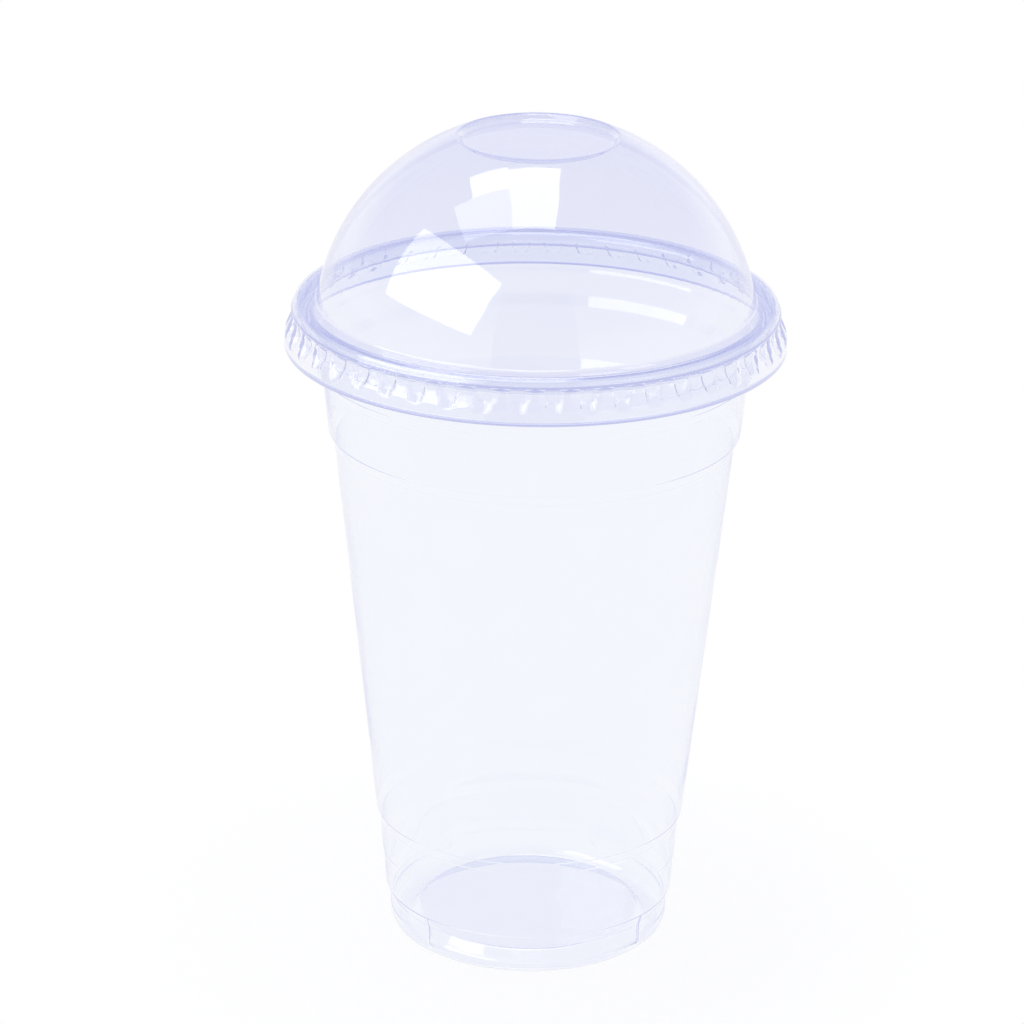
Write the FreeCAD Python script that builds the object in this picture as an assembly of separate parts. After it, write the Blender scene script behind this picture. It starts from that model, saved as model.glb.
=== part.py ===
import FreeCAD, Part
import math
import os

# A clear cold-drink cup with its closed dome lid, in millimetres.
# The frame stands on the table: +Z is up, the origin is the middle of the foot,
# and -Y is the side that the photo shows.

os.makedirs("parts", exist_ok=True)

V = FreeCAD.Vector

# Sizes of the rolled rim, which every other size of the cup hangs from
RIM_RADIUS = 49.0
RIM_HEIGHT = 138.9
CURL_RADIUS = 1.65
CURL_END_ANGLE = -128.0
MOUTH_LAND = 0.9
CUP_WALL = 0.35

# Sizes of the upper band, measured down from the rim and inwards from the mouth
UPPER_BAND_HEIGHT = 25.05
UPPER_BAND_TAPER = 0.1
SHOULDER_DROP = 5.85
SHOULDER_HEIGHT = 0.8
SHOULDER_DEPTH = 0.35
RING_STEP_DROP = 11.6
RING_STEP_HEIGHT = 2.2
RING_STEP_DEPTH = 1.0
UPPER_STEP_HEIGHT = 2.6
UPPER_STEP_DEPTH = 1.25

# Sizes of the long tapered body and of the band and foot under it
BODY_TAPER = 0.1067
LOWER_STEP_TOP = 27.1
LOWER_STEP_HEIGHT = 2.5
LOWER_STEP_DEPTH = 0.9
LOWER_BAND_TAPER = 0.06
STACK_STEP_TOP = 17.5
STACK_STEP_HEIGHT = 2.2
STACK_STEP_DEPTH = 0.35
FOOT_BAND_TAPER = 0.065
FOOT_STEP_TOP = 9.3
FOOT_STEP_HEIGHT = 3.7
FOOT_STEP_DEPTH = 1.42
FOOT_BULGE = 0.38
FOOT_CORNER_RADIUS = 2.9
EDGE_RADIUS = 0.7

# Sizes of the raised bottom and of the two shallow panels round the foot
CONTACT_WIDTH = 1.1
PUNT_WALL_WIDTH = 2.6
PUNT_HEIGHT = 2.9
PANEL_DEPTH = 0.22
PANEL_RISE = 2.4
PANEL_BOTTOM = 2.0
PANEL_TURN = 4.0
FRONT_PANEL_SPAN = 98.0
REAR_PANEL_SPAN = 64.0

# Sizes of the lid, which take the rim of the cup as their seat
LID_WALL = 0.3
SEAT_GAP = 0.3
RING_SIDE_GAP = 0.4
RING_CORNER_RADIUS = 1.4
RING_DROP = 1.5
SKIRT_STEP_WIDTH = 0.35
SKIRT_STEP_HEIGHT = 0.45
SKIRT_HEIGHT = 7.3
LAND_TOP_DROP = 1.85
LAND_HEIGHT = 2.8
LAND_FLARE = 1.25
EDGE_BAND_TAPER = 0.075
DOME_INSET = 4.13
DOME_FOOT_RISE = 0.5
DOME_BULGE = 5.72
DOME_HEIGHT = 34.4
DISC_LIP_RADIUS = 16.9
DISC_LIP_REACH = 0.6
DISC_WALL_WIDTH = 1.7
DISC_DEPTH = 1.1

# Sizes of the grip flutes round the skirt
FLUTE_COUNT = 46
FLUTE_TOP_WIDTH = 3.9
FLUTE_KNEE_WIDTH = 3.0
FLUTE_FOOT_WIDTH = 1.9
FLUTE_HEIGHT = 4.4
FLUTE_KNEE_DROP = 1.9
FLUTE_TOP_DROP = 0.45
FLUTE_FOOT_PROUD = 0.12
FLUTE_DRAFT = 0.45
RIM_GRIP_GAP = 0.3

# How far a cutting solid reaches past the face that it cuts
REACH = 1.0

# The direction of the front, in degrees from +X, and the distance at which two points are one
FRONT = -90.0
SAME_PLACE = 1e-6


def point(radius, height):
    """A point of the half section, in the plane through the axis."""
    return V(radius, 0, height)


def rounded_path(corners):
    """Lines through (radius, height, rounding) corners, each corner softened by a tangent arc."""
    edges = []
    start = point(corners[0][0], corners[0][1])
    for index in range(1, len(corners) - 1):
        corner = point(corners[index][0], corners[index][1])
        before = point(corners[index - 1][0], corners[index - 1][1]) - corner
        after = point(corners[index + 1][0], corners[index + 1][1]) - corner
        rounding = corners[index][2]
        before.normalize()
        after.normalize()
        half_angle = before.getAngle(after) / 2
        if rounding == 0 or abs(half_angle - math.pi / 2) < SAME_PLACE:
            edges.append(Part.makeLine(start, corner))
            start = corner
            continue
        reach = rounding / math.tan(half_angle)
        middle_line = before + after
        middle_line.normalize()
        to_arc = rounding / math.sin(half_angle) - rounding
        arc_start = corner + before * reach
        arc_end = corner + after * reach
        if start.distanceToPoint(arc_start) > SAME_PLACE:
            edges.append(Part.makeLine(start, arc_start))
        edges.append(Part.Arc(arc_start, corner + middle_line * to_arc, arc_end).toShape())
        start = arc_end
    end = point(corners[-1][0], corners[-1][1])
    if start.distanceToPoint(end) > SAME_PLACE:
        edges.append(Part.makeLine(start, end))
    return edges


def tangent_rounding(corner, before, after, reach):
    """The rounding radius whose arc leaves a corner at a given reach along both of its sides."""
    return reach * math.tan((before - corner).getAngle(after - corner) / 2)


def chained(edges):
    """The edges joined into one open wire."""
    return Part.Wire(Part.__sortEdges__(edges))


def turned_solid(edges):
    """The solid swept by the area between an outline and the axis."""
    wire = chained(edges)
    first = wire.OrderedVertexes[0].Point
    last = wire.OrderedVertexes[-1].Point
    stops = [last, point(0, last.z), point(0, first.z), first]
    closing = []
    for a, b in zip(stops[:-1], stops[1:]):
        if a.distanceToPoint(b) > SAME_PLACE:
            closing.append(Part.makeLine(a, b))
    face = Part.Face(chained(wire.Edges + closing))
    return face.revolve(V(0, 0, 0), V(0, 0, 1), 360)


def inner_outline(edges, wall):
    """The same outline moved inwards by the wall."""
    wire = chained(edges)
    for distance in (wall, -wall):
        moved = wire.makeOffset2D(distance, 2, False, True)
        if moved.BoundBox.XMax < wire.BoundBox.XMax - wall / 2:
            return moved.Edges
    raise ValueError("the outline could not be moved inwards")


def mouth_radius():
    """Outside radius of the cup wall where the rim starts to roll over."""
    return RIM_RADIUS - 2 * CURL_RADIUS + CUP_WALL


def curl_height():
    """Height of the middle of the rolled rim."""
    return RIM_HEIGHT - CURL_RADIUS


def cup_corners(extra=0):
    """Corners of the outside of the cup, from the middle of the bottom up to the mouth."""
    mouth = mouth_radius()
    land_z = curl_height() - MOUTH_LAND
    shoulder_z = curl_height() - SHOULDER_DROP
    shoulder = mouth - UPPER_BAND_TAPER * (land_z - shoulder_z)
    under_shoulder_z = shoulder_z - SHOULDER_HEIGHT
    under_shoulder = shoulder - SHOULDER_DEPTH
    ring_z = curl_height() - RING_STEP_DROP
    ring = under_shoulder - UPPER_BAND_TAPER * (under_shoulder_z - ring_z)
    under_ring_z = ring_z - RING_STEP_HEIGHT
    under_ring = ring - RING_STEP_DEPTH
    band_bottom_z = curl_height() - UPPER_BAND_HEIGHT
    band_bottom = under_ring - UPPER_BAND_TAPER * (under_ring_z - band_bottom_z)
    body_top_z = band_bottom_z - UPPER_STEP_HEIGHT
    body_top = band_bottom - UPPER_STEP_DEPTH
    body_bottom = body_top - BODY_TAPER * (body_top_z - LOWER_STEP_TOP)
    lower_top_z = LOWER_STEP_TOP - LOWER_STEP_HEIGHT
    lower_top = body_bottom - LOWER_STEP_DEPTH
    stack_top = lower_top - LOWER_BAND_TAPER * (lower_top_z - STACK_STEP_TOP)
    under_stack_z = STACK_STEP_TOP - STACK_STEP_HEIGHT
    under_stack = stack_top - STACK_STEP_DEPTH
    lower_bottom = under_stack - FOOT_BAND_TAPER * (under_stack_z - FOOT_STEP_TOP)
    neck_z = FOOT_STEP_TOP - FOOT_STEP_HEIGHT
    neck = lower_bottom - FOOT_STEP_DEPTH
    foot = neck + FOOT_BULGE
    contact = foot - FOOT_CORNER_RADIUS
    punt_foot = contact - CONTACT_WIDTH
    punt = punt_foot - PUNT_WALL_WIDTH
    return [
        (0, PUNT_HEIGHT, 0),
        (punt, PUNT_HEIGHT, EDGE_RADIUS),
        (punt_foot, 0, EDGE_RADIUS),
        (foot, 0, FOOT_CORNER_RADIUS),
        (foot, (FOOT_CORNER_RADIUS + neck_z) / 2, EDGE_RADIUS),
        (neck, neck_z, EDGE_RADIUS),
        (lower_bottom, FOOT_STEP_TOP, EDGE_RADIUS),
        (under_stack, under_stack_z, EDGE_RADIUS),
        (stack_top, STACK_STEP_TOP, EDGE_RADIUS),
        (lower_top, lower_top_z, EDGE_RADIUS),
        (body_bottom, LOWER_STEP_TOP, EDGE_RADIUS),
        (body_top, body_top_z, EDGE_RADIUS),
        (band_bottom, band_bottom_z, EDGE_RADIUS),
        (under_ring, under_ring_z, EDGE_RADIUS),
        (ring, ring_z, EDGE_RADIUS),
        (under_shoulder, under_shoulder_z, EDGE_RADIUS),
        (shoulder, shoulder_z, EDGE_RADIUS),
        (mouth, land_z, EDGE_RADIUS),
        (mouth, curl_height() + extra, 0),
    ]


def foot_panel(middle, span, inset):
    """A low band that stands proud of the foot and runs up into the slope of the foot step."""
    foot = cup_corners()[3][0]
    inner = foot - FOOT_CORNER_RADIUS
    outer = foot + PANEL_DEPTH - inset
    low = PANEL_BOTTOM + inset
    high = FOOT_STEP_TOP - FOOT_STEP_HEIGHT + PANEL_RISE - inset
    corners = [point(inner, low), point(outer, low), point(outer, high), point(inner, high)]
    turn = span - 2 * math.degrees(inset / outer)
    band = Part.Face(Part.makePolygon(corners + corners[:1])).revolve(V(0, 0, 0), V(0, 0, 1), turn)
    band.rotate(V(0, 0, 0), V(0, 0, 1), FRONT + middle - turn / 2)
    return band


def with_panels(solid, inset):
    """A turned solid with the front and rear foot panels added."""
    front = foot_panel(PANEL_TURN, FRONT_PANEL_SPAN, inset)
    rear = foot_panel(PANEL_TURN + 180, REAR_PANEL_SPAN, inset)
    return solid.fuse([front, rear])


def rolled_rim():
    """The rim rolled outwards and under, as one thin curl."""
    centre = point(RIM_RADIUS - CURL_RADIUS, curl_height())
    inner = CURL_RADIUS - CUP_WALL
    end = math.radians(CURL_END_ANGLE)

    def on_circle(radius, angle):
        return centre + V(radius * math.cos(angle), 0, radius * math.sin(angle))

    middle = (math.pi + end) / 2
    outer_arc = Part.Arc(
        on_circle(CURL_RADIUS, math.pi), on_circle(CURL_RADIUS, middle), on_circle(CURL_RADIUS, end)
    ).toShape()
    inner_arc = Part.Arc(
        on_circle(inner, end), on_circle(inner, middle), on_circle(inner, math.pi)
    ).toShape()
    tip = Part.makeLine(on_circle(CURL_RADIUS, end), on_circle(inner, end))
    root = Part.makeLine(on_circle(inner, math.pi), on_circle(CURL_RADIUS, math.pi))
    face = Part.Face(Part.Wire([outer_arc, tip, inner_arc, root]))
    return face.revolve(V(0, 0, 0), V(0, 0, 1), 360)


def make_cup():
    """The cup as one thermoformed wall with a rolled rim and a raised bottom."""
    outside = with_panels(turned_solid(rounded_path(cup_corners())), 0)
    inside_path = inner_outline(rounded_path(cup_corners(REACH)), CUP_WALL)
    inside = with_panels(turned_solid(inside_path), CUP_WALL)
    return outside.cut(inside).fuse(rolled_rim()).removeSplitter()


def ring_top():
    """Height of the top of the ring that covers the rim."""
    return RIM_HEIGHT + SEAT_GAP + LID_WALL


def ring_radius():
    """Outside radius of the ring that covers the rim."""
    return RIM_RADIUS + RING_SIDE_GAP + LID_WALL


def skirt_top():
    """Height where the skirt starts to flare, under the step below the ring."""
    return ring_top() - RING_DROP - SKIRT_STEP_HEIGHT


def skirt_bottom():
    """Height of the cut edge of the lid."""
    return skirt_top() - SKIRT_HEIGHT


def land_top():
    """Height where the upright part of the skirt turns outwards."""
    return skirt_top() - LAND_TOP_DROP


def land_foot():
    """Height where the flared part of the skirt meets the plain edge band."""
    return land_top() - LAND_HEIGHT


def skirt_radius(height):
    """Outside radius of the skirt: upright, then flared, then nearly upright down to the cut edge."""
    flared = LAND_FLARE * min(max(land_top() - height, 0), LAND_HEIGHT) / LAND_HEIGHT
    edge_band = EDGE_BAND_TAPER * max(land_foot() - height, 0)
    return ring_radius() + SKIRT_STEP_WIDTH + flared + edge_band


def dome_arc(lip, foot):
    """Centre and radius of the dome's arc between the disc's lip and the foot of the dome."""
    chord = foot - lip
    half = chord.Length / 2
    outward = V(-chord.z, 0, chord.x)
    outward.normalize()
    radius = (half * half + DOME_BULGE * DOME_BULGE) / (2 * DOME_BULGE)
    return lip + chord * 0.5 + outward * (DOME_BULGE - radius), radius


def lid_outline(extra=0):
    """Outside of the lid, from the middle of the top disc down to the cut edge."""
    lip = point(DISC_LIP_RADIUS, ring_top() + DOME_HEIGHT)
    foot = point(RIM_RADIUS - DOME_INSET, ring_top() + DOME_FOOT_RISE)
    centre, radius = dome_arc(lip, foot)
    lip_spoke = (lip - centre) * (1 / radius)
    foot_spoke = (foot - centre) * (1 / radius)
    crest = lip + V(-lip_spoke.z, 0, lip_spoke.x) * DISC_LIP_REACH
    disc = point(DISC_LIP_RADIUS - DISC_WALL_WIDTH, lip.z - DISC_DEPTH)
    foot_reach = DOME_FOOT_RISE / foot_spoke.x
    heel = foot + V(foot_spoke.z, 0, -foot_spoke.x) * foot_reach
    middle = lip_spoke + foot_spoke
    middle.normalize()
    crest_rounding = tangent_rounding(crest, disc, lip, DISC_LIP_REACH)
    heel_rounding = tangent_rounding(heel, foot, heel + V(1, 0, 0), foot_reach)
    top = rounded_path([
        (0, disc.z, 0),
        (disc.x, disc.z, EDGE_RADIUS),
        (crest.x, crest.z, crest_rounding),
        (lip.x, lip.z, 0),
    ])
    dome = Part.Arc(lip, centre + middle * radius, foot).toShape()
    ring = rounded_path([
        (foot.x, foot.z, 0),
        (heel.x, heel.z, heel_rounding),
        (ring_radius(), ring_top(), RING_CORNER_RADIUS),
        (ring_radius(), skirt_top() + SKIRT_STEP_HEIGHT, 0),
        (skirt_radius(skirt_top()), skirt_top(), 0),
        (skirt_radius(land_top()), land_top(), EDGE_RADIUS),
        (skirt_radius(land_foot()), land_foot(), EDGE_RADIUS),
        (skirt_radius(skirt_bottom() - extra), skirt_bottom() - extra, 0),
    ])
    return top + [dome] + ring


def flute(wall):
    """One grip flute as a cutting wedge, or as the larger one that leaves a wall behind it."""
    floor_top_r = RIM_RADIUS + RIM_GRIP_GAP + LID_WALL - wall
    flute_top = skirt_top() - FLUTE_TOP_DROP
    knee = flute_top - FLUTE_KNEE_DROP
    bottom = flute_top - FLUTE_HEIGHT
    floor_foot_r = skirt_radius(bottom) + FLUTE_FOOT_PROUD - wall
    cover_r = skirt_radius(skirt_bottom()) + REACH
    side = wall * math.sqrt(1 + FLUTE_DRAFT * FLUTE_DRAFT)
    sections = []
    for height, floor_r, width in (
        (bottom, floor_foot_r, FLUTE_FOOT_WIDTH),
        (knee, floor_top_r, FLUTE_KNEE_WIDTH),
        (flute_top + wall, floor_top_r, FLUTE_TOP_WIDTH),
    ):
        face_r = skirt_radius(height) - wall
        floor_half = width / 2 - FLUTE_DRAFT * (face_r - floor_r) + side
        cover_half = floor_half + FLUTE_DRAFT * (cover_r - floor_r)
        corners = [
            V(floor_r, -floor_half, height),
            V(cover_r, -cover_half, height),
            V(cover_r, cover_half, height),
            V(floor_r, floor_half, height),
        ]
        sections.append(Part.makePolygon(corners + corners[:1]))
    return Part.makeLoft(sections, True, True)


def flute_ring(wall):
    """All the flutes round the skirt."""
    step = 360.0 / FLUTE_COUNT
    flutes = []
    for index in range(FLUTE_COUNT):
        wedge = flute(wall)
        wedge.rotate(V(0, 0, 0), V(0, 0, 1), FRONT + step * (index + 0.5))
        flutes.append(wedge)
    return flutes


def make_lid():
    """The dome lid as one thermoformed wall: disc, dome, ring and fluted skirt."""
    outside = turned_solid(lid_outline()).cut(flute_ring(0))
    inside = turned_solid(inner_outline(lid_outline(REACH), LID_WALL)).cut(flute_ring(LID_WALL))
    return outside.cut(inside).removeSplitter()


def save(name, shape):
    """One STEP file for one node."""
    shape.exportStep("parts/" + name + ".step")
    box = shape.optimalBoundingBox(False)
    print(name, shape.isValid(), len(shape.Solids), round(shape.Volume), "mm3", round(box.ZMax, 2), "mm high")


save("cup", make_cup())
save("dome_lid", make_lid())
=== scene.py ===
# %% [markdown]
# # A clear cold-drink cup with a closed dome lid
#
# The real object is two thin shells of clear plastic. Each one starts as a flat warm sheet that air pressure
# pushes into a mould, so each is one wall of nearly even thickness with soft corners everywhere.
# The construction model gives both shells at their true size. Here each is made again as a fine smooth
# surface, because a clear glossy wall shows every facet, and then gets a plastic that bends and mirrors light.

# %% Load the construction model
import math

import bpy
import numpy as np
from mathutils import Matrix, Vector


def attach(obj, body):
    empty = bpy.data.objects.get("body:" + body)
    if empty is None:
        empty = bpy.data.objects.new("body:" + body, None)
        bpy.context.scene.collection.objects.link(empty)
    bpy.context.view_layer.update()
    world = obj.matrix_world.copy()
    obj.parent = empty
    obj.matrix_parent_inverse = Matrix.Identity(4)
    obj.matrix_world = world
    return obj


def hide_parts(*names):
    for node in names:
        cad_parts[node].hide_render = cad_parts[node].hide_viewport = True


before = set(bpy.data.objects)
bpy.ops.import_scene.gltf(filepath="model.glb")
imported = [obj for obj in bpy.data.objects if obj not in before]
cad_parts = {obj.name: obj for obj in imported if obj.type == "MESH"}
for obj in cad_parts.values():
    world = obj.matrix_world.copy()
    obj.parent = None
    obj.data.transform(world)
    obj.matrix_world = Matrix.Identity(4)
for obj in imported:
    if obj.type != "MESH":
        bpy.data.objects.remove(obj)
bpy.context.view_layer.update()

# %% [markdown]
# ## Sizes of the cup
#
# The sizes are those of the construction model, in millimetres as a maker would write them.
# They are turned into metres only where a mesh is made. The upper part is worked out downwards from the rim:
# the rolled curl, a fine shoulder line, a ring step and a smooth band.

# %% Sizes of the rim and the upper band
MM = 0.001
CUP_WALL = 0.35
EDGE = 0.7
RIM_RADIUS = 49.0
RIM_HEIGHT = 138.9
CURL_RADIUS = 1.65
CURL_END = -128.0
CURL_HEIGHT = RIM_HEIGHT - CURL_RADIUS
MOUTH_RADIUS = RIM_RADIUS - 2 * CURL_RADIUS + CUP_WALL
MOUTH_LOW_Z = CURL_HEIGHT - 0.9
BAND_TAPER = 0.1
SHOULDER_Z = CURL_HEIGHT - 5.85
SHOULDER_R = MOUTH_RADIUS - BAND_TAPER * (MOUTH_LOW_Z - SHOULDER_Z)
UNDER_SHOULDER_Z = SHOULDER_Z - 0.8
UNDER_SHOULDER_R = SHOULDER_R - 0.35
RING_STEP_Z = CURL_HEIGHT - 11.6
RING_STEP_R = UNDER_SHOULDER_R - BAND_TAPER * (UNDER_SHOULDER_Z - RING_STEP_Z)
UNDER_RING_Z = RING_STEP_Z - 2.2
UNDER_RING_R = RING_STEP_R - 1.0
BAND_LOW_Z = CURL_HEIGHT - 25.05
BAND_LOW_R = UNDER_RING_R - BAND_TAPER * (UNDER_RING_Z - BAND_LOW_Z)
print("mouth radius", round(MOUTH_RADIUS, 2), "upper band ends at", round(BAND_LOW_Z, 2))

# %% [markdown]
# Below the band a step leads into the long tapered body. A second step leads into the lower band, which has
# one small step that stacked cups rest on. Under the foot step the wall is drawn in at a neck, then stands out
# again as the foot. Each radius follows from the one above it, so a change at the rim carries down the wall.

# %% Sizes of the body and the foot
BODY_TAPER = 0.1067
LOWER_TAPER = 0.06
FOOT_TAPER = 0.065
BODY_TOP_Z = BAND_LOW_Z - 2.6
BODY_TOP_R = BAND_LOW_R - 1.25
BODY_LOW_Z = 27.1
BODY_LOW_R = BODY_TOP_R - BODY_TAPER * (BODY_TOP_Z - BODY_LOW_Z)
LOWER_TOP_Z = BODY_LOW_Z - 2.5
LOWER_TOP_R = BODY_LOW_R - 0.9
STACK_Z = 17.5
STACK_R = LOWER_TOP_R - LOWER_TAPER * (LOWER_TOP_Z - STACK_Z)
UNDER_STACK_Z = STACK_Z - 2.2
UNDER_STACK_R = STACK_R - 0.35
FOOT_STEP_Z = 9.3
FOOT_STEP_R = UNDER_STACK_R - FOOT_TAPER * (UNDER_STACK_Z - FOOT_STEP_Z)
NECK_Z = FOOT_STEP_Z - 3.7
NECK_R = FOOT_STEP_R - 1.42
NECK_LOW_Z = NECK_Z - 0.3
HOLLOW_Z = NECK_Z + 1.3
HOLLOW_R = NECK_R + 0.2
FOOT_R = NECK_R + 0.38
FOOT_CORNER = 2.9
STANDING_R = FOOT_R - FOOT_CORNER
BOTTOM_RISE = 2.9
BOTTOM_LOW_R = STANDING_R - 1.1
BOTTOM_R = BOTTOM_LOW_R - 2.6
print("foot radius", round(FOOT_R, 2), "standing ring radius", round(STANDING_R, 2))

# %% [markdown]
# ## Sizes of the lid
#
# The lid is sized from the cup's rim and a little room round it, as a real lid is, so that it seats on the cup
# whatever the rim measures. Its skirt starts just under the ring. It is upright first, then flared over
# the lands between the flutes, then nearly upright again at the cut edge.

# %% Sizes of the lid
LID_WALL = 0.3
ROOM_ABOVE_RIM = 0.3
ROOM_BESIDE_RIM = 0.4
RING_HEIGHT = 1.5
RING_TOP = RIM_HEIGHT + ROOM_ABOVE_RIM + LID_WALL
RING_R = RIM_RADIUS + ROOM_BESIDE_RIM + LID_WALL
SKIRT_STEP = 0.45
SKIRT_TOP = RING_TOP - RING_HEIGHT - SKIRT_STEP
SKIRT_TOP_R = RING_R + 0.35
SKIRT_LOW = SKIRT_TOP - 7.3
LAND_TOP = SKIRT_TOP - 1.85
LAND_FOOT = LAND_TOP - 2.8
LAND_FLARE = 1.25
EDGE_TAPER = 0.075
DOME_FOOT = (RIM_RADIUS - 4.13, RING_TOP + 0.5)
DOME_LIP = (16.9, RING_TOP + 34.4)
DOME_BULGE = 5.72
DISC_R = DOME_LIP[0] - 1.7
DISC_Z = DOME_LIP[1] - 1.1
LIP_LENGTH = 0.6
print("ring top", round(RING_TOP, 2), "skirt bottom", round(SKIRT_LOW, 2))

# %% [markdown]
# ## A softened section
#
# Sheet that is pushed into a mould never reaches its sharp corners, so every corner of the wall's section
# is an arc. One way is to draw the arcs by hand. It is easier to list the sharp corners, each with its
# rounding, and to let a helper put in the arc that touches both neighbours.

# %% The section helper
def softened(corners, pieces=7):
    """Polyline through (radius, height, rounding) corners: at each one, the arc tangent to both sides.

    An arc's centre lies on the half-angle line, at rounding / sin(half angle) from the corner,
    and its points turn evenly from one touching point to the other.
    """
    runs = [np.array([corners[0][:2]], float)]
    for (x0, z0, _), (x1, z1, r), (x2, z2, _) in zip(corners[:-2], corners[1:-1], corners[2:]):
        here = np.array([x1, z1], float)
        if r == 0:
            runs.append(here[None])
            continue
        back = np.array([x0, z0]) - here
        on = np.array([x2, z2]) - here
        back /= np.hypot(*back)
        on /= np.hypot(*on)
        half = math.acos(float(np.clip(back @ on, -1, 1))) / 2
        mid = (back + on) / np.hypot(*(back + on))
        centre = here + mid * r / math.sin(half)
        first = here + back * r / math.tan(half) - centre
        last = here + on * r / math.tan(half) - centre
        turn = math.atan2(first[0] * last[1] - first[1] * last[0], first @ last)
        t = np.linspace(0, turn, pieces)[:, None]
        runs.append(centre + np.cos(t) * first + np.sin(t) * np.array([-first[1], first[0]]))
    runs.append(np.array([corners[-1][:2]], float))
    return np.concatenate(runs)


example = softened([(0, 0, 0), (10, 0, 2), (10, 10, 0)])
print("a square corner rounded by 2 mm becomes", len(example) - 2, "points")

# %% [markdown]
# Long straight runs are divided, so that shading stays smooth along the wall, and the inside of the wall
# is the same line moved by the wall's thickness. A Solidify modifier would give the thickness too,
# but one closed section lets the rolled edge and the foot's panels be shaped on each face by itself.

# %% The wall helpers
def refined(section, step):
    """The same polyline with long runs divided, so that no run is longer than step."""
    length = np.hypot(*np.diff(section, axis=0).T)
    parts = np.maximum(1, np.ceil(length / step)).astype(int)
    run = np.repeat(np.arange(len(parts)), parts)
    share = (np.arange(parts.sum()) - np.repeat(np.cumsum(parts) - parts, parts)) / parts[run]
    inside = section[run] + (section[run + 1] - section[run]) * share[:, None]
    return np.concatenate([inside, section[-1:]])


def moved_in(section, wall):
    """Each point moved by wall to the left of the way of travel, along the mean of its two sides' normals."""
    way = np.diff(section, axis=0)
    way /= np.hypot(*way.T)[:, None]
    normal = np.stack([-way[:, 1], way[:, 0]], 1)
    before = np.concatenate([normal[:1], normal])
    after = np.concatenate([normal, normal[-1:]])
    mean = before + after
    mean /= np.hypot(*mean.T)[:, None]
    out = section + mean * (wall / np.sum(mean * after, 1))[:, None]
    out[section[:, 0] == 0, 0] = 0
    return out


print("the same corner in steps of 4 mm has", len(refined(example, 4.0)), "points")

# %% [markdown]
# ## From a section to a shell
#
# Both shells are turned shapes: the section goes round the axis. Spin or a Screw modifier would do that,
# but the flutes and the panels of the foot also push the wall in and out as it goes round.
# So the radius is a function of the place along the section and of the angle, worked out on a whole grid
# at once.

# %% The turning helper
def turned(name, section, angle, push):
    """Closed mesh over (place along the section, angle a): x = R sin a, y = -R cos a, z = section z.

    R is the section's radius r plus push(r, z, a). The section starts and ends on the axis, so each end
    is one point with a fan of triangles. The angles rise round the full turn and may stand closer
    where the shape needs it.
    """
    columns = len(angle)
    body = section[1:-1]
    rows = len(body)
    r = np.repeat(body[:, :1], columns, 1)
    z = np.repeat(body[:, 1:2], columns, 1)
    r = r + push(r, z, angle[None, :])
    grid = np.stack([r * np.sin(angle), -r * np.cos(angle), z], 2).reshape(-1, 3)
    ends = np.array([[0, 0, section[0, 1]], [0, 0, section[-1, 1]]])
    points = np.concatenate([grid, ends]) * MM
    i, j = np.meshgrid(np.arange(rows - 1), np.arange(columns), indexing="ij")
    k = (j + 1) % columns
    low, high = i * columns, (i + 1) * columns
    quads = np.stack([low + j, low + k, high + k, high + j], 2).reshape(-1, 4)
    ring = np.arange(columns)
    following = (ring + 1) % columns
    start = np.stack([np.full(columns, rows * columns), following, ring], 1)
    last = (rows - 1) * columns
    end = np.stack([last + ring, last + following, np.full(columns, rows * columns + 1)], 1)
    mesh = bpy.data.meshes.new(name)
    mesh.from_pydata(points.tolist(), [], quads.tolist() + start.tolist() + end.tolist())
    mesh.polygons.foreach_set("use_smooth", np.ones(len(mesh.polygons), bool))
    mesh.update()
    obj = bpy.data.objects.new(name, mesh)
    bpy.context.scene.collection.objects.link(obj)
    print(name, len(points), "points", len(mesh.polygons), "faces", columns, "columns")
    return obj


# %% [markdown]
# ## The cup
#
# From the middle of its raised bottom the wall comes down to the ring that it stands on, goes round the foot,
# up over a slightly hollow foot step, the small stacking step, the lower band and the long tapered body,
# and over one more step into the band under the rim. A ring step and a fine shoulder stiffen that band.
# At the top it rolls outwards and under, which makes the edge stiff, and smooth to the lips.

# %% The cup's section
outer_corners = [
    (0, BOTTOM_RISE, 0),
    (BOTTOM_R, BOTTOM_RISE, EDGE),
    (BOTTOM_LOW_R, 0, EDGE),
    (FOOT_R, 0, FOOT_CORNER),
    (FOOT_R, (FOOT_CORNER + NECK_Z) / 2, EDGE),
    (NECK_R, NECK_LOW_Z, EDGE),
    (HOLLOW_R, HOLLOW_Z, EDGE),
    (FOOT_STEP_R, FOOT_STEP_Z, EDGE),
    (UNDER_STACK_R, UNDER_STACK_Z, EDGE),
    (STACK_R, STACK_Z, EDGE),
    (LOWER_TOP_R, LOWER_TOP_Z, EDGE),
    (BODY_LOW_R, BODY_LOW_Z, EDGE),
    (BODY_TOP_R, BODY_TOP_Z, EDGE),
    (BAND_LOW_R, BAND_LOW_Z, EDGE),
    (UNDER_RING_R, UNDER_RING_Z, EDGE),
    (RING_STEP_R, RING_STEP_Z, EDGE),
    (UNDER_SHOULDER_R, UNDER_SHOULDER_Z, EDGE),
    (SHOULDER_R, SHOULDER_Z, EDGE),
    (MOUTH_RADIUS, MOUTH_LOW_Z, EDGE),
    (MOUTH_RADIUS, CURL_HEIGHT, 0),
]
outer = refined(softened(outer_corners), 4.0)
inner = moved_in(outer, CUP_WALL)


def curl(radius, first, last, count):
    """Points on the curl's circle from one angle to another, in degrees from +X."""
    a = np.radians(np.linspace(first, last, count))[:, None]
    return np.array([RIM_RADIUS - CURL_RADIUS, CURL_HEIGHT]) + radius * np.hstack([np.cos(a), np.sin(a)])


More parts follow.
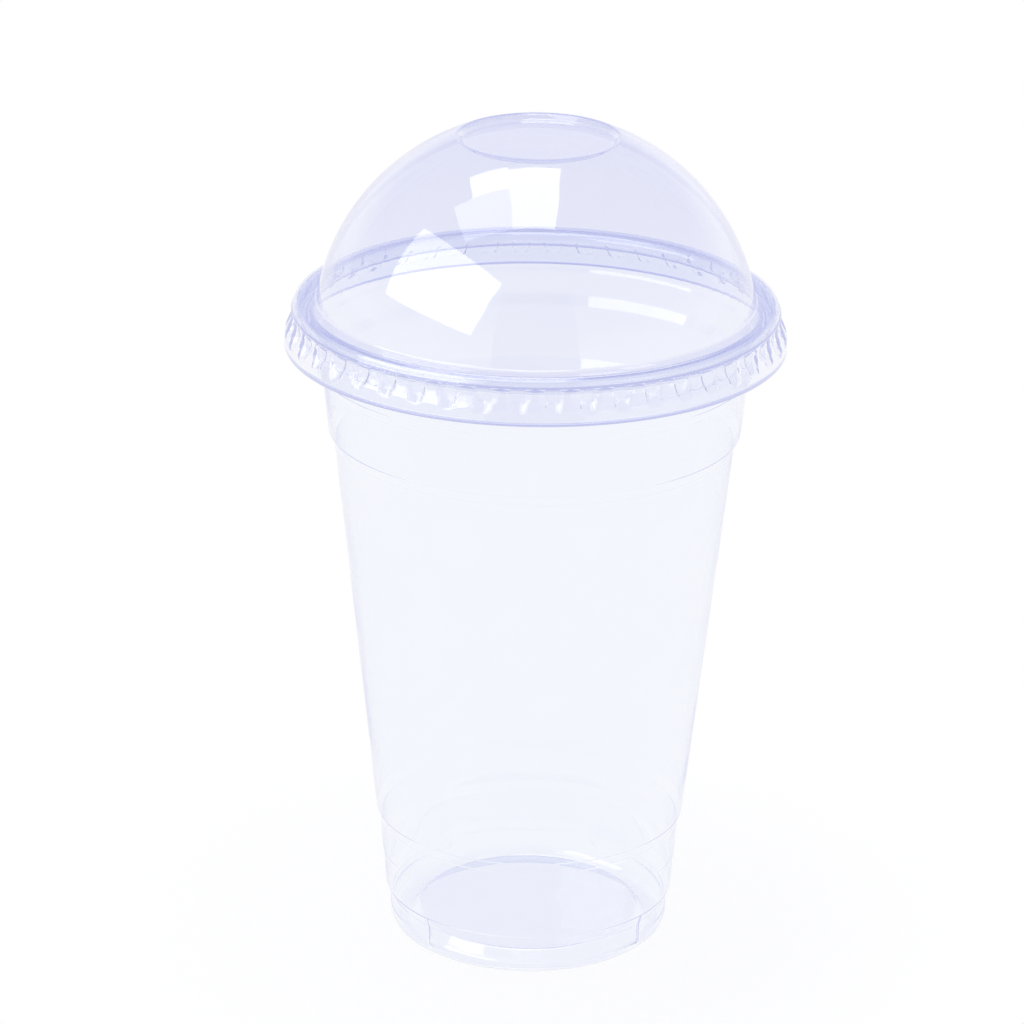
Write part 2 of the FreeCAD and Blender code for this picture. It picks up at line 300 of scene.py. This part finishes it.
under_curl = curl(CURL_RADIUS - CUP_WALL, 180, CURL_END, 22)[1:]
over_curl = curl(CURL_RADIUS, CURL_END, 180, 30)[:-1]
cup_section = np.concatenate([outer, under_curl, over_curl, inner[::-1]])
print("cup section points", len(cup_section))

# %% [markdown]
# ## The foot's panels
#
# The foot has a shallow panel at the front and another at the back, each a fifth of a millimetre proud.
# The front one ends sharply and the rear one softly. A cup like this drops into a stack, and such lugs keep
# the feet from wedging. They could be cut in with extra solids. Pushing the wall outwards where the angle
# and the height are inside a panel keeps one clean surface with an even wall.

# %% The foot's panels
PANEL_R = FOOT_R + 0.22
PANEL_FOOT = 2.0
PANEL_TOP = NECK_Z + 2.4
PANEL_EDGE = 0.3
PANEL_TURN = 4.0
MOST_PUSH = 0.75
# Each panel's middle and span in degrees, and the softness of its ends in millimetres.
PANELS = ((PANEL_TURN, 98.0, 0.5), (PANEL_TURN + 180.0, 64.0, 2.4))
inner_from = len(outer) + len(under_curl)


def soft_step(x, width):
    """0 below -width / 2 and 1 above +width / 2, with the cubic 3t^2 - 2t^3 between."""
    t = np.clip(x / width + 0.5, 0, 1)
    return t * t * (3 - 2 * t)


def foot_push(r, z, a):
    """Outward push that brings the wall to the panel's radius inside a panel's angle and height."""
    wall_in = np.where(np.arange(len(r))[:, None] >= inner_from, CUP_WALL, 0.0)
    gap = np.clip(PANEL_R - wall_in - r, 0, MOST_PUSH)
    inside = soft_step(z - (PANEL_FOOT + wall_in), PANEL_EDGE)
    inside = inside * soft_step(PANEL_TOP - wall_in - z, PANEL_EDGE) * (r > STANDING_R + 1)
    across = 0
    for middle, span, end in PANELS:
        away = np.abs((np.degrees(a) - middle + 180) % 360 - 180)
        across = across + soft_step(math.radians(1) * PANEL_R * (span / 2 - away) - wall_in, end)
    return gap * inside * across


print("front panel", round(math.radians(PANELS[0][1]) * PANEL_R, 1), "mm long round the foot")

# %% [markdown]
# ## The cup's shell
#
# A round wall needs a column of faces every degree and a half to look smooth. An end of the front panel is
# narrower than one such column, so a few extra columns stand close together at each panel's ends.
# A finer mesh all round would give the same edges for far more faces.

# %% The cup's shell
even = np.arange(240) * (2 * math.pi / 240)
panel_ends = np.radians([middle + side * span / 2 for middle, span, _ in PANELS for side in (-1, 1)])
close = np.radians([-0.9, -0.45, 0.0, 0.45, 0.9])
cup_angles = np.unique(np.concatenate([even, (panel_ends[:, None] + close).ravel() % (2 * math.pi)]))
cup = turned("cup_shell", cup_section, cup_angles, foot_push)
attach(cup, "cup")
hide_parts("cup")

# %% [markdown]
# ## The lid
#
# The lid's wall starts as the sunk disc on top, rolls over a small lip, runs down the dome, turns out into the
# ring that covers the cup's rim, and steps out to the skirt. The dome is an arc given by its two ends and by
# how far it bulges from the straight line between them. The ends of the arc give the way in which the lip
# and the heel of the dome run on, so neither of them shows a kink.

# %% The lid's section above the skirt
def arc_through(first, last, bulge, count):
    """Points of the arc between two ends whose middle lies bulge away from the chord, outwards and up."""
    first, last = np.array(first), np.array(last)
    chord = last - first
    half = np.hypot(*chord) / 2
    out = np.array([-chord[1], chord[0]]) / (2 * half)
    radius = (half * half + bulge * bulge) / (2 * bulge)
    centre = (first + last) / 2 + out * (bulge - radius)
    a = np.arctan2(first[1] - centre[1], first[0] - centre[0])
    b = np.arctan2(last[1] - centre[1], last[0] - centre[0])
    t = np.linspace(a, b, count)[:, None]
    return centre + radius * np.hstack([np.cos(t), np.sin(t)])


dome = arc_through(DOME_LIP, DOME_FOOT, DOME_BULGE, 28)
lip_way = (dome[0] - dome[1]) / np.hypot(*(dome[0] - dome[1]))
crest = dome[0] + lip_way * LIP_LENGTH
disc_way = np.array([DISC_R, DISC_Z]) - crest
half_crest = math.acos(float(disc_way @ -lip_way) / float(np.hypot(*disc_way))) / 2
crest_round = (LIP_LENGTH - 0.01) * math.tan(half_crest)
top_corners = [(0, DISC_Z, 0), (DISC_R, DISC_Z, EDGE), (*crest, crest_round), (*dome[1], 0)]
foot_way = (dome[-1] - dome[-2]) / np.hypot(*(dome[-1] - dome[-2]))
heel = dome[-1] + foot_way * (dome[-1][1] - RING_TOP) / -foot_way[1]
ring_corners = [
    (*dome[-2], 0),
    (*heel, 0.5),
    (RING_R, RING_TOP, 1.4),
    (RING_R, SKIRT_TOP + SKIRT_STEP, 0.15),
    (SKIRT_TOP_R, SKIRT_TOP, 0.2),
    (SKIRT_TOP_R, SKIRT_LOW, 0),
]
above_skirt = np.concatenate([softened(top_corners)[:-1], dome[1:-1], softened(ring_corners)[1:-1]])
above_skirt = refined(above_skirt, 2.4)
print("lid section points above the skirt", len(above_skirt))

# %% [markdown]
# ## The flutes of the skirt
#
# The skirt is pressed in at forty-six places. Each flute is wide at the top, turns outwards at a knee and runs
# out to nothing above the plain edge, narrower as it goes. The lands between them are small sloping windows.
# Boolean cuts would leave long thin faces, so a flute is a depth that the wall is pushed in by.

# %% The flutes as a depth
FLUTES = 46
FLUTE_TOP = SKIRT_TOP - 0.45
FLUTE_KNEE = FLUTE_TOP - 2.8
FLUTE_FOOT = FLUTE_TOP - 4.8
FLUTE_WIDTHS = (1.9, 3.1, 3.9)
FLUTE_FLOOR_R = RIM_RADIUS + 0.3 + LID_WALL
FLUTE_RUN_OUT = 0.12
LAND_CORNER = 0.55
KNEE_CORNER = 0.5
SIDE_SLOPE = 2.0
FULLNESS = 1.15


def eased(x, width):
    """max(x, 0) with its corner rounded by a parabola as long as width."""
    return np.where(x > width / 2, x, np.clip(x + width / 2, 0, None) ** 2 / (2 * width))


def skirt_r(z):
    """Outside radius of the plain skirt: upright, flared over the lands, nearly upright to the cut edge."""
    flare = LAND_FLARE / (LAND_TOP - LAND_FOOT)
    past_top, past_foot = eased(LAND_TOP - z, LAND_CORNER), eased(LAND_FOOT - z, LAND_CORNER)
    return SKIRT_TOP_R + flare * past_top + (EDGE_TAPER - flare) * past_foot


def flute_depth(z, a, grow):
    """Depth of the flute: the smaller, softly, of the floor's depth and of the sloping side's, never under 0.

    The floor is upright down to the knee and then runs straight out to the skirt's own radius at the foot.
    The soft smaller of p and q is p q / sqrt(p^2 + q^2), filled out a little so that it reaches the floor.
    grow widens the flute at each side and lifts its top.
    """
    past_knee = eased(FLUTE_KNEE - z, KNEE_CORNER) / (FLUTE_KNEE - FLUTE_FOOT)
    floor = FLUTE_FLOOR_R + (skirt_r(FLUTE_FOOT) + FLUTE_RUN_OUT - FLUTE_FLOOR_R) * past_knee
    deep = np.clip(skirt_r(z) - floor, 0, None)
    half = np.interp(z, [FLUTE_FOOT, FLUTE_KNEE, FLUTE_TOP], FLUTE_WIDTHS) / 2 + grow
    pitch = 2 * math.pi / FLUTES
    across = np.abs((a / pitch) % 1 - 0.5) * pitch * skirt_r(z)
    side = np.clip((half - across) * SIDE_SLOPE, 0, None)
    depth = deep * side / np.sqrt(deep * deep + side * side + 1e-6) * FULLNESS
    return np.minimum(depth, deep) * soft_step(FLUTE_TOP + grow - 0.2 - z, 0.8)


deepest = flute_depth(np.array([FLUTE_KNEE]), math.pi / FLUTES, 0.0)[0]
print("flute depth at the knee", round(float(deepest), 2), "mm")

# %% [markdown]
# ## The lid's shell
#
# The fluted part of the skirt needs rows a third of a millimetre apart, closer still where the flutes begin,
# and columns that stand closest at the sloping sides of a flute. The rest of the lid keeps its long steps.
# Both faces of the wall are pushed in, and the flutes are a quarter of a millimetre wider at each side
# on the outside face than on the inside face, so the wall runs out to nothing at their sloping sides.

# %% The lid's shell
even_rows = np.linspace(FLUTE_TOP + 0.3, FLUTE_FOOT - 0.5, 18)
rows_at_top = FLUTE_TOP + np.array([0.15, 0.08, 0.0, -0.08, -0.15])
rows_at_edge = SKIRT_LOW + np.array([1.2, 0.0])
skirt_z = np.concatenate([np.unique(np.concatenate([rows_at_top, even_rows]))[::-1], rows_at_edge])
lid_outer = np.concatenate([above_skirt, np.stack([skirt_r(skirt_z), skirt_z], 1)])
lid_inner = moved_in(lid_outer, -LID_WALL)
lid_section = np.concatenate([lid_inner, lid_outer[::-1]])
pitch_places = np.array([0, 0.18, 0.25, 0.31, 0.38, 0.5, 0.62, 0.69, 0.75, 0.82])
lid_angles = ((np.arange(FLUTES)[:, None] + pitch_places) * (2 * math.pi / FLUTES)).ravel()
outside_from = len(lid_inner) - 1
FLUTE_GROW = LID_WALL * 0.8


def skirt_push(r, z, a):
    """Inward push of the flutes on both faces of the wall, wider on the outside face."""
    outside_face = np.arange(len(r))[:, None] >= outside_from
    on_skirt = (z < SKIRT_TOP) & (r > RING_R - 1)
    depth = np.where(outside_face, flute_depth(z, a, FLUTE_GROW), flute_depth(z, a, 0.0))
    return -depth * on_skirt


lid = turned("lid_shell", lid_section, lid_angles, skirt_push)
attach(lid, "lid")
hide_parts("dome_lid")

# %% [markdown]
# ## Shader maths as plain expressions
#
# A material is a small calculation that runs at every point of a surface. Wiring it by hand makes long lists
# of nodes and links. One small class lets a number from a node be added, taken away, multiplied and compared
# in Python, and one method makes any other node.

# %% The recipe helper
class Signal:
    """A number that comes out of a node: + - * and > with other signals or numbers add Math nodes."""

    def __init__(self, recipe, socket):
        self.recipe, self.socket = recipe, socket

    def __add__(self, other):
        return self.recipe.maths("ADD", self, other)

    def __sub__(self, other):
        return self.recipe.maths("SUBTRACT", self, other)

    def __rsub__(self, other):
        return self.recipe.maths("SUBTRACT", other, self)

    def __mul__(self, other):
        return self.recipe.maths("MULTIPLY", self, other)

    def __gt__(self, other):
        return self.recipe.maths("GREATER_THAN", self, other)

    __radd__, __rmul__ = __add__, __mul__


class Recipe:
    """The node tree of one material or of the world."""

    def __init__(self, owner):
        owner.use_nodes = True
        self.owner, self.nodes, self.links = owner, owner.node_tree.nodes, owner.node_tree.links
        self.nodes.clear()

    def add(self, kind, settings=None, sockets=None):
        """One node of a kind: its settings are set first, then each socket gets its value or its link."""
        node = self.nodes.new(kind)
        for name, value in (settings or {}).items():
            if name == "stops":
                while len(node.color_ramp.elements) < len(value):
                    node.color_ramp.elements.new(0.5)
                for stop, (position, colour) in zip(node.color_ramp.elements, value):
                    stop.position, stop.color = position, colour
            else:
                setattr(node, name, value)
        for name, value in (sockets or {}).items():
            if isinstance(value, Signal):
                value = value.socket
            if isinstance(value, bpy.types.NodeSocket):
                self.links.new(value, node.inputs[name])
            else:
                node.inputs[name].default_value = value
        return node

    def signal(self, kind, settings, sockets, output):
        return Signal(self, self.add(kind, settings, sockets).outputs[output])

    def maths(self, operation, first, second):
        return self.signal("ShaderNodeMath", {"operation": operation}, {0: first, 1: second}, 0)

    def noise(self, place, scale, detail, roughness=0.5):
        sockets = {"Vector": place, "Scale": scale, "Detail": detail, "Roughness": roughness}
        return self.signal("ShaderNodeTexNoise", {}, sockets, 0)

    def blend(self, share, first, second):
        """A colour between two colours."""
        sockets = {0: share, 6: first, 7: second}
        return self.add("ShaderNodeMix", {"data_type": "RGBA"}, sockets).outputs[2]

    def mixed(self, share, first, second):
        """The shader node between two shader nodes: share 0 is the first and 1 the second."""
        return self.add("ShaderNodeMixShader", {}, {0: share, 1: first.outputs[0], 2: second.outputs[0]})


# %% [markdown]
# ## Clear plastic sheet
#
# The shells are clear PET, faintly lavender where the eye looks through more of it. Real sheet is never
# optically flat: it keeps long soft waves from the sheet line, fine draw lines up the wall, and small changes
# of gloss where it touched the mould. Both faces of the wall are modelled, so a true glass shader bends light
# at the steps and curls by itself. Rays from lamps would stop at such glass, so they get a plain tinted film
# instead, and the shadow stays as light as that of a thin cup. Where the tight bends catch light inside a
# wall, a ray that has met nine faces, or has been mirrored three times, ends in a painted glow: a soft
# lavender emission that stands in for the light that such a path would still bring out.

# %% The plastic
# Colour of the painted glow: an emission that ends deep rays in the glass in place of the light they would
# carry.
PAINTED_GLOW_COLOUR = (0.58, 0.6, 0.84, 1)
FILM = (0.975, 0.98, 0.99, 1)
MOST_FACES = 8.5
MOST_MIRRORS = 2.5


def clear_pet(name, thin, thick, waves, squeeze):
    """Glass that the sheet's waves and draw lines bend a little, a painted glow where deep rays end, a film
    for shadows.

    The tint lies between thin and thick, by the slow waves and the haze. waves is the height of the slow
    waves in millimetres, and squeeze shortens the wall for the noise that makes the draw lines.
    """
    recipe = Recipe(bpy.data.materials.new(name))
    place = recipe.add("ShaderNodeTexCoord").outputs["Object"]
    along = recipe.add("ShaderNodeMapping", {}, {"Vector": place, "Scale": (1, 1, squeeze)}).outputs[0]
    slow = recipe.noise(place, 45.0, 1.0)
    lines = recipe.noise(along, 420.0, 1.0, 0.6)
    haze = recipe.noise(place, 160.0, 2.0, 0.65)
    height = slow * waves + lines * (waves * 0.015)
    bump = recipe.add("ShaderNodeBump", {}, {"Strength": 1.0, "Distance": MM, "Height": height})
    plastic = recipe.add("ShaderNodeBsdfPrincipled", {}, {
        "Base Color": recipe.blend(slow * 0.6 + haze * 0.4, thin, thick),
        "Roughness": haze * 0.035 + 0.004,
        "IOR": 1.5,
        "Transmission Weight": 1.0,
        "Normal": bump.outputs[0],
    })
    film = recipe.add("ShaderNodeBsdfTransparent", {}, {"Color": FILM})
    # Painted glow: a lavender emission on rays that have met too many faces or mirrors, standing in for light.
    painted_glow = recipe.add("ShaderNodeEmission", {}, {"Color": PAINTED_GLOW_COLOUR, "Strength": 1.0})
    path = recipe.add("ShaderNodeLightPath").outputs
    met, mirrored = Signal(recipe, path["Ray Depth"]), Signal(recipe, path["Glossy Depth"])
    ends_in_painted_glow = recipe.maths("MAXIMUM", met > MOST_FACES, mirrored > MOST_MIRRORS)
    wall = recipe.mixed(ends_in_painted_glow, plastic, painted_glow)
    surface = recipe.mixed(path["Is Shadow Ray"], wall, film)
    recipe.add("ShaderNodeOutputMaterial", {}, {"Surface": surface.outputs[0]})
    return recipe.owner


CUP_TINTS = ((0.962, 0.971, 0.995, 1), (0.935, 0.948, 0.988, 1))
LID_TINTS = ((0.922, 0.929, 0.984, 1), (0.892, 0.903, 0.974, 1))
cup_pet = clear_pet("cup_clear_pet", *CUP_TINTS, waves=0.2, squeeze=0.08)
lid_pet = clear_pet("lid_clear_pet", *LID_TINTS, waves=0.14, squeeze=0.2)
cup.data.materials.append(cup_pet)
lid.data.materials.append(lid_pet)
print("materials", [m.name for m in bpy.data.materials])

# %% [markdown]
# ## The floor
#
# The cup stands on a white table in a white room, photographed so brightly that the table has no edge.
# The floor is mostly its own white for the camera and for rays that glass mirrors or lets through,
# and the rest is a plain lit surface, which keeps the cup's faint shadow.

# %% The floor
FLOOR_HALF = 12.0
FLOOR_LEVEL = -0.0001
LIT_SHARE = 0.1


def white_floor():
    """Own white, with a lit share under the cup that fades out between 5 cm and 10 cm from the axis."""
    recipe = Recipe(bpy.data.materials.new("floor_white"))
    path = recipe.add("ShaderNodeLightPath").outputs
    bent = Signal(recipe, path["Is Glossy Ray"]) + Signal(recipe, path["Is Transmission Ray"])
    place = recipe.add("ShaderNodeTexCoord").outputs["Object"]
    distance = recipe.signal("ShaderNodeVectorMath", {"operation": "LENGTH"}, {0: place}, 1)
    spread = {"data_type": "FLOAT", "interpolation_type": "SMOOTHSTEP", "clamp": True}
    away = recipe.signal("ShaderNodeMapRange", spread, {0: distance, 1: 0.05, 2: 0.1, 3: 0.0, 4: 1.0}, 0)
    own = 1 - (1 - away) * LIT_SHARE
    share = recipe.maths("MINIMUM", own * path["Is Camera Ray"] + bent, 1.0)
    lit = recipe.add("ShaderNodeBsdfDiffuse", {}, {"Color": (0.9, 0.9, 0.91, 1)})
    white = recipe.add("ShaderNodeEmission", {}, {"Color": (1, 1, 1, 1), "Strength": 1.0})
    recipe.add("ShaderNodeOutputMaterial", {}, {"Surface": recipe.mixed(share, lit, white).outputs[0]})
    return recipe.owner


def plane(name, corners, material):
    """One four-sided face with its material."""
    mesh = bpy.data.meshes.new(name)
    mesh.from_pydata(corners, [], [(0, 1, 2, 3)])
    mesh.materials.append(material)
    obj = bpy.data.objects.new(name, mesh)
    bpy.context.scene.collection.objects.link(obj)
    return obj


square = ((-1, -1), (1, -1), (1, 1), (-1, 1))
floor = plane("floor", [(x * FLOOR_HALF, y * FLOOR_HALF, FLOOR_LEVEL) for x, y in square], white_floor())
print("floor", 2 * FLOOR_HALF, "m across")

# %% [markdown]
# ## The room
#
# A clear shell shows mostly what it mirrors. Around the table the room is bright, with a darker, bluer
# ceiling. That draws the dome, which mirrors the ceiling, and leaves the upright cup pale with faint edges.
# A picture of a real room would do the same, but three colours on the way up are enough and easy to change.
# The camera itself sees plain white.

# %% The room
SKY = ((0.1, (1.05, 1.05, 1.08, 1)), (0.38, (0.62, 0.64, 0.9, 1)), (0.95, (0.34, 0.37, 0.72, 1)))


def bright_room():
    recipe = Recipe(bpy.data.worlds.new("room"))
    bpy.context.scene.world = recipe.owner
    path = recipe.add("ShaderNodeLightPath").outputs
    way = recipe.add("ShaderNodeTexCoord").outputs["Generated"]
    up = recipe.add("ShaderNodeSeparateXYZ", {}, {0: way}).outputs[2]
    sky = recipe.add("ShaderNodeValToRGB", {"stops": SKY}, {0: up}).outputs[0]
    colour = recipe.blend(path["Is Camera Ray"], sky, (1, 1, 1, 1))
    room = recipe.add("ShaderNodeBackground", {}, {"Color": colour, "Strength": 1.0})
    recipe.add("ShaderNodeOutputWorld", {}, {"Surface": room.outputs[0]})


bright_room()
print("room colours from the table up", [colour[:3] for _, colour in SKY])

# %% [markdown]
# ## The lamps
#
# The white patches on the dome are mirrored lamps: a large softbox to the left and a group of panels overhead.
# Their sizes and places come from where their mirror images stand on the dome. Each one is an area lamp,
# because a glowing plane of that size would make more noise for the same patch.

# %% The softbox and the ceiling panels
AIM_HEIGHT = 0.12
CEILING = 1.16


def light_panel(name, width, height, bright):
    """A rectangle of light that the camera doesn't see.

    Its power is brightness x area x pi, so that its face is as bright as the number given.
    """
    light = bpy.data.lights.new(name, "AREA")
    light.shape, light.size, light.size_y = "RECTANGLE", width, height
    light.energy = bright * width * height * math.pi
    lamp = bpy.data.objects.new(name, light)
    lamp.visible_camera = False
    bpy.context.scene.collection.objects.link(lamp)
    print(name, round(light.energy, 1), "W")
    return lamp


def softbox(name, turn, rise, away, width, height, bright):
    """A panel at a turn to the right of the front and a rise above the table, facing the cup."""
    t, e = math.radians(turn), math.radians(rise)
    way = Vector((math.sin(t) * math.cos(e), -math.cos(t) * math.cos(e), math.sin(e)))
    lamp = light_panel(name, width, height, bright)
    lamp.location = way * away + Vector((0, 0, AIM_HEIGHT))
    lamp.rotation_euler = (-way).to_track_quat("-Z", "Y").to_euler()


def ceiling_panel(name, left, right, front, back, bright):
    """A level panel 1 m above the dome, facing down, between four sides given in metres."""
    lamp = light_panel(name, right - left, back - front, bright)
    lamp.location = ((left + right) / 2, (front + back) / 2, CEILING)


softbox("softbox_left", turn=-62, rise=33.6, away=1.0, width=1.07, height=0.57, bright=2.6)
ceiling_panel("panel_middle", left=-0.2, right=0.15, front=-0.3, back=0.45, bright=2.6)
ceiling_panel("panel_back", left=-0.49, right=-0.2, front=0.17, back=0.5, bright=2.6)
ceiling_panel("panel_side", left=-0.67, right=-0.2, front=-0.3, back=0.17, bright=1.4)

# %% [markdown]
# ## The dark card
#
# A narrow dark card in front, where the photographer stands, gives the quiet band down the middle of the dome.
# Only mirrored rays meet it, so it lights nothing and hides nothing.

# %% The dark card
CARD_HALF = 0.13
CARD_TOP = 0.42
CARD_Y = -0.34


def card_finish():
    recipe = Recipe(bpy.data.materials.new("card_dark"))
    dull = recipe.add("ShaderNodeEmission", {}, {"Color": (0.12, 0.14, 0.5, 1), "Strength": 1.0})
    recipe.add("ShaderNodeOutputMaterial", {}, {"Surface": dull.outputs[0]})
    return recipe.owner


upright = ((-CARD_HALF, 0), (CARD_HALF, 0), (CARD_HALF, CARD_TOP), (-CARD_HALF, CARD_TOP))
card = plane("card", [(x, CARD_Y, z) for x, z in upright], card_finish())
card.visible_camera = card.visible_diffuse = card.visible_transmission = card.visible_shadow = False
print("card", 2 * CARD_HALF, "m wide and", CARD_TOP, "m high")

# %% [markdown]
# ## The camera
#
# The photograph was taken from about a metre away, looking down at about twenty degrees. The focal length
# and the place come from lining up the cup's circles with the ellipses in the picture.

# %% The camera
AWAY, HEIGHT, FOCAL_PIXELS, PICTURE_PIXELS = 0.90618, 0.44291, 4675.9, 1024
YAW, PITCH, ROLL = -0.0049, 0.3689, 0.0121
forward = Vector((math.sin(YAW) * math.cos(PITCH), math.cos(YAW) * math.cos(PITCH), -math.sin(PITCH)))
right = Vector((math.cos(YAW), -math.sin(YAW), 0))
above_view = right.cross(forward)
right_rolled = right * math.cos(ROLL) + above_view * math.sin(ROLL)
up_rolled = above_view * math.cos(ROLL) - right * math.sin(ROLL)
camera_data = bpy.data.cameras.new("camera")
camera_data.sensor_width = 36.0
camera_data.lens = FOCAL_PIXELS / PICTURE_PIXELS * camera_data.sensor_width
camera_data.clip_end = 50.0
camera = bpy.data.objects.new("camera", camera_data)
turned_frame = Matrix((right_rolled, up_rolled, -forward)).transposed().to_4x4()
camera.matrix_world = Matrix.Translation((0, -AWAY, HEIGHT)) @ turned_frame
bpy.context.scene.collection.objects.link(camera)
bpy.context.scene.camera = camera
bpy.context.scene.view_settings.view_transform = "Standard"
print("lens", round(camera_data.lens, 1), "mm")
